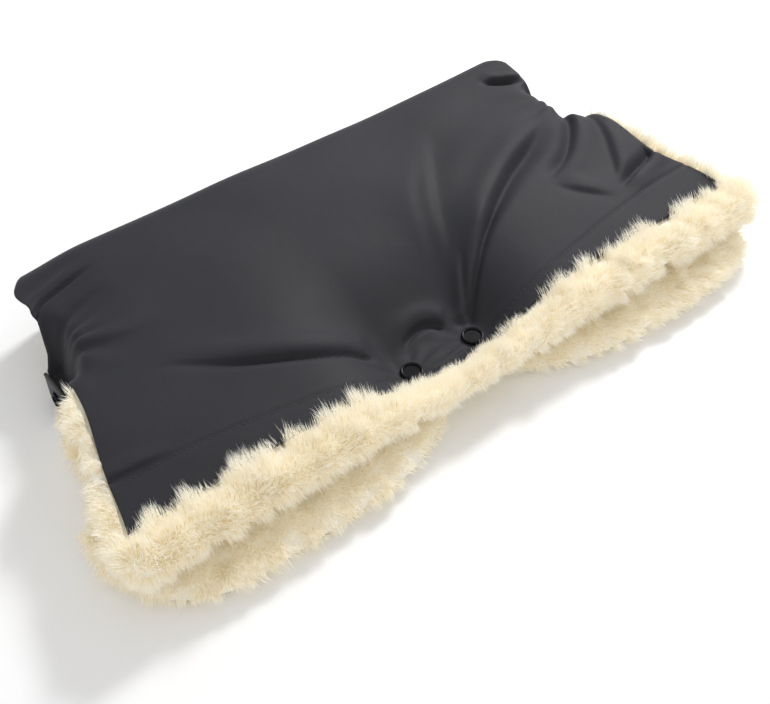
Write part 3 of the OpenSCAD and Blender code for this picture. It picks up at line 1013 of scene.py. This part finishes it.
FINE = 0.19 * MM                    # radius of a strand of the outer wool at its root
COARSE = 0.5 * MM                   # the same on the muff's inner faces
TUFT = 4.2 * MM                     # radius of a tuft


def inside_locks(places, normals):
    """The wool on the muff's inner faces, in fewer and thicker strands."""
    x, y = places[:, :1], places[:, 1:2]
    length = length_at(places, 9 * MM) * (1 - 0.5 * at_fold_end(x, y)) * (1 - 0.7 * tab_hold(x, y))
    return locks(places, normals, np.array([0, -0.3, 0]), length, 7, 4.5 * MM, COARSE)


def front_top_locks(outer, uu, ss):
    """The top of the rolled rim at the hand opening, which leans over the hem, and the wool at the sides."""
    x, y = outer[..., 0], outer[..., 1]
    past_shell = (np.abs(x) > shell_half(y)) & (y < side_start(uu) - 8 * MM - 8 * MM * (uu < 0))
    edge_tufts = np.where(ss > -8 * MM, smooth(0.75 + tufting(x, y)), 1)
    weight = (ss < 2 * MM) * edge_tufts + 0.8 * past_shell * (ss >= 0)
    places, normals = scatter(outer, grid_normals(outer), weight, 1500)
    x, y = places[:, 0], places[:, 1]
    over = tufting(x, y) * (y < Y_EDGE + 2 * MM)
    beside = (np.abs(x) > shell_half(y)) & (y > Y_EDGE)
    up = 0.75 * smooth((y - Y_EDGE + 12 * MM) / (10 * MM)) * (1 + 0.8 * over) * ~beside
    up = up * (1 - 0.9 * stud_hold(x, y))
    comb = np.stack([0.5 * np.sign(x) * beside, up - 0.2 * beside, np.full(len(x), 0.3)], -1)
    length = length_at(places, 9.8 * MM, 0.35)
    wool = locks(places, normals, comb, length, 24, 4.4 * MM, FINE, spread=0.95, stray=0.1)
    clear_of_shell(wool[0])
    return wool


def front_rim_locks(inner, uu, ss):
    """The face and the underside of the rolled rim, and the underside of the wool at the sides."""
    side_wool = (np.abs(uu) > 1) & (inner[..., 1] < side_start(uu) - 6 * MM)
    weight = (ss < 6 * MM) + 0.5 * side_wool
    places, normals = scatter(inner, -grid_normals(inner), weight, 1300)
    comb = np.array([0, -0.9, 0.1])
    length = length_at(places, 8.5 * MM, 0.2)
    return locks(places, normals, comb, length, 24, TUFT, FINE, spread=0.85, stray=0.09)


def front_inside_locks(inner, ss):
    x, y = inner[..., 0], inner[..., 1]
    hold = clamp01(stud_hold(x, y) + tab_hold(x, y))
    weight = (ss > 6 * MM) * (1 - 0.6 * hold)
    wool = inside_locks(*scatter(inner, -grid_normals(inner), weight, 3300))
    keep_on_core(wool[0])
    return wool


def back_rim_locks(inner, uu, rim):
    """The back's wool at the hand opening and along its sides, seen from above."""
    side = (np.abs(uu) > 0.97) & (inner[..., 1] < Y_TAB + 10 * MM)
    places, normals = scatter(inner, grid_normals(inner), np.clip(rim + side, 0, 1), 1900)
    x = places[:, 0]
    out = 0.4 * np.sign(x) * (np.abs(x) > 0.2)
    comb = np.stack([out, np.full(len(x), -0.9), np.zeros(len(x))], -1)
    length = length_at(places, 8.5 * MM, 0.2)
    return locks(places, normals, comb, length, 22, TUFT, FINE, spread=0.85, stray=0.09)


def back_under_locks(outer, uu, ss, fold_end):
    """The back's wool past the shell, on the ground side."""
    weight = (ss < 0) + 0.6 * (np.abs(uu) > 1) * ~fold_end
    places, normals = scatter(outer, -grid_normals(outer), weight, 420)
    length = length_at(places, 7.5 * MM)
    return locks(places, normals, np.array([0, -0.5, 0.5]), length, 20, 3.8 * MM, 0.20 * MM)


def finish_core(obj, bend, *nodes):
    give(obj, WOOL_CORE)
    bend(obj)
    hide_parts(*nodes)


def finish_locks(name, bend, parts):
    for piece in strand_pieces(name, parts):
        give(piece, WOOL)
        bend(piece)


def build_front_wool():
    outer, inner, uu, ss = make_front_wool()
    core = closed_sheet("front_wool", outer, inner)
    finish_core(core, bend_front, "front_fleece", "crest_fleece", "spine_fleece")
    top = front_top_locks(outer, uu, ss)
    rim = front_rim_locks(inner, uu, ss)
    finish_locks("front_locks", bend_front, [top, rim, front_inside_locks(inner, ss)])


def build_back_wool():
    outer, inner, uu, ss = make_back_wool()
    finish_core(closed_sheet("back_wool", inner, outer), bend_back, "back_fleece")
    rim = (ss < 30 * MM).astype(float)
    above = back_rim_locks(inner, uu, rim)
    under = back_under_locks(outer, uu, ss, at_fold_end(inner[..., 0], inner[..., 1]))
    inside = inside_locks(*scatter(inner, grid_normals(inner), 1 - rim, 3300))
    finish_locks("back_locks", bend_back, [above, under, inside])


def build_fasteners():
    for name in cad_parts:
        obj = bpy.data.objects.get(name)
        if obj is None or obj.hide_render:
            continue
        if name.startswith(("snap", "tab")):
            give_slots(obj, WEBBING if name.endswith("strap") else PLASTIC)


def give_slots(obj, mat):
    """The material in every slot of a CAD node."""
    if not obj.material_slots:
        obj.data.materials.append(mat)
    for slot in obj.material_slots:
        slot.material = mat


# ---- Floor, light and camera ----


FLOOR_DROP = 0.2 * MM               # keeps the floor off the rest face
KEY_PLACE = (1.09, 0.45, 1.07)
KEY_SIZE = 0.3
KEY_POWER = 18
WORLD_LIGHT = 0.76


def build_stage():
    bpy.ops.mesh.primitive_plane_add(size=8, location=(0, 0, -FLOOR_DROP))
    floor = bpy.context.object
    floor.name = "floor"
    mat, _, _, shader = new_material("pale_floor")
    shader.inputs["Base Color"].default_value = (0.93, 0.93, 0.935, 1)
    shader.inputs["Roughness"].default_value = 0.8
    give(floor, mat)
    world = bpy.data.worlds.new("studio")
    bpy.context.scene.world = world
    world.use_nodes = True
    background = world.node_tree.nodes["Background"]
    background.inputs["Color"].default_value = (1.0, 1.0, 1.0, 1)
    background.inputs["Strength"].default_value = WORLD_LIGHT
    area_light("key", KEY_PLACE, (0.0, 0.0, 0.0), KEY_SIZE, KEY_POWER)


def area_light(name, place, target, size, power):
    data = bpy.data.lights.new(name, "AREA")
    data.size = size
    data.energy = power
    obj = bpy.data.objects.new(name, data)
    obj.location = place
    obj.rotation_mode = "QUATERNION"
    obj.rotation_quaternion = (Vector(target) - Vector(place)).to_track_quat("-Z", "Y")
    bpy.context.scene.collection.objects.link(obj)


CAMERA_AZIMUTH = math.radians(-38.4)
CAMERA_ELEVATION = math.radians(46.3)
CAMERA_TARGET = Vector((-0.0485, -0.0547, 0.041))
CAMERA_DISTANCE = 0.6897
CAMERA_LENS = 53.8                  # mm, on a frame 36 mm wide


def build_camera():
    back = Vector((
        math.sin(CAMERA_AZIMUTH) * math.cos(CAMERA_ELEVATION),
        -math.cos(CAMERA_AZIMUTH) * math.cos(CAMERA_ELEVATION),
        math.sin(CAMERA_ELEVATION),
    ))
    data = bpy.data.cameras.new("camera")
    data.sensor_width = 36
    data.lens = CAMERA_LENS
    cam = bpy.data.objects.new("camera", data)
    cam.rotation_mode = "QUATERNION"
    cam.location = CAMERA_TARGET + back * CAMERA_DISTANCE
    cam.rotation_quaternion = (-back).to_track_quat("-Z", "Y")
    bpy.context.scene.collection.objects.link(cam)
    bpy.context.scene.camera = cam


build_stage()
build_camera()
build_shells()
build_front_wool()
build_back_wool()
build_fasteners()
bpy.context.scene.view_settings.view_transform = "Standard"
bpy.context.scene.cycles.max_bounces = 16
bpy.context.scene.cycles.diffuse_bounces = 12
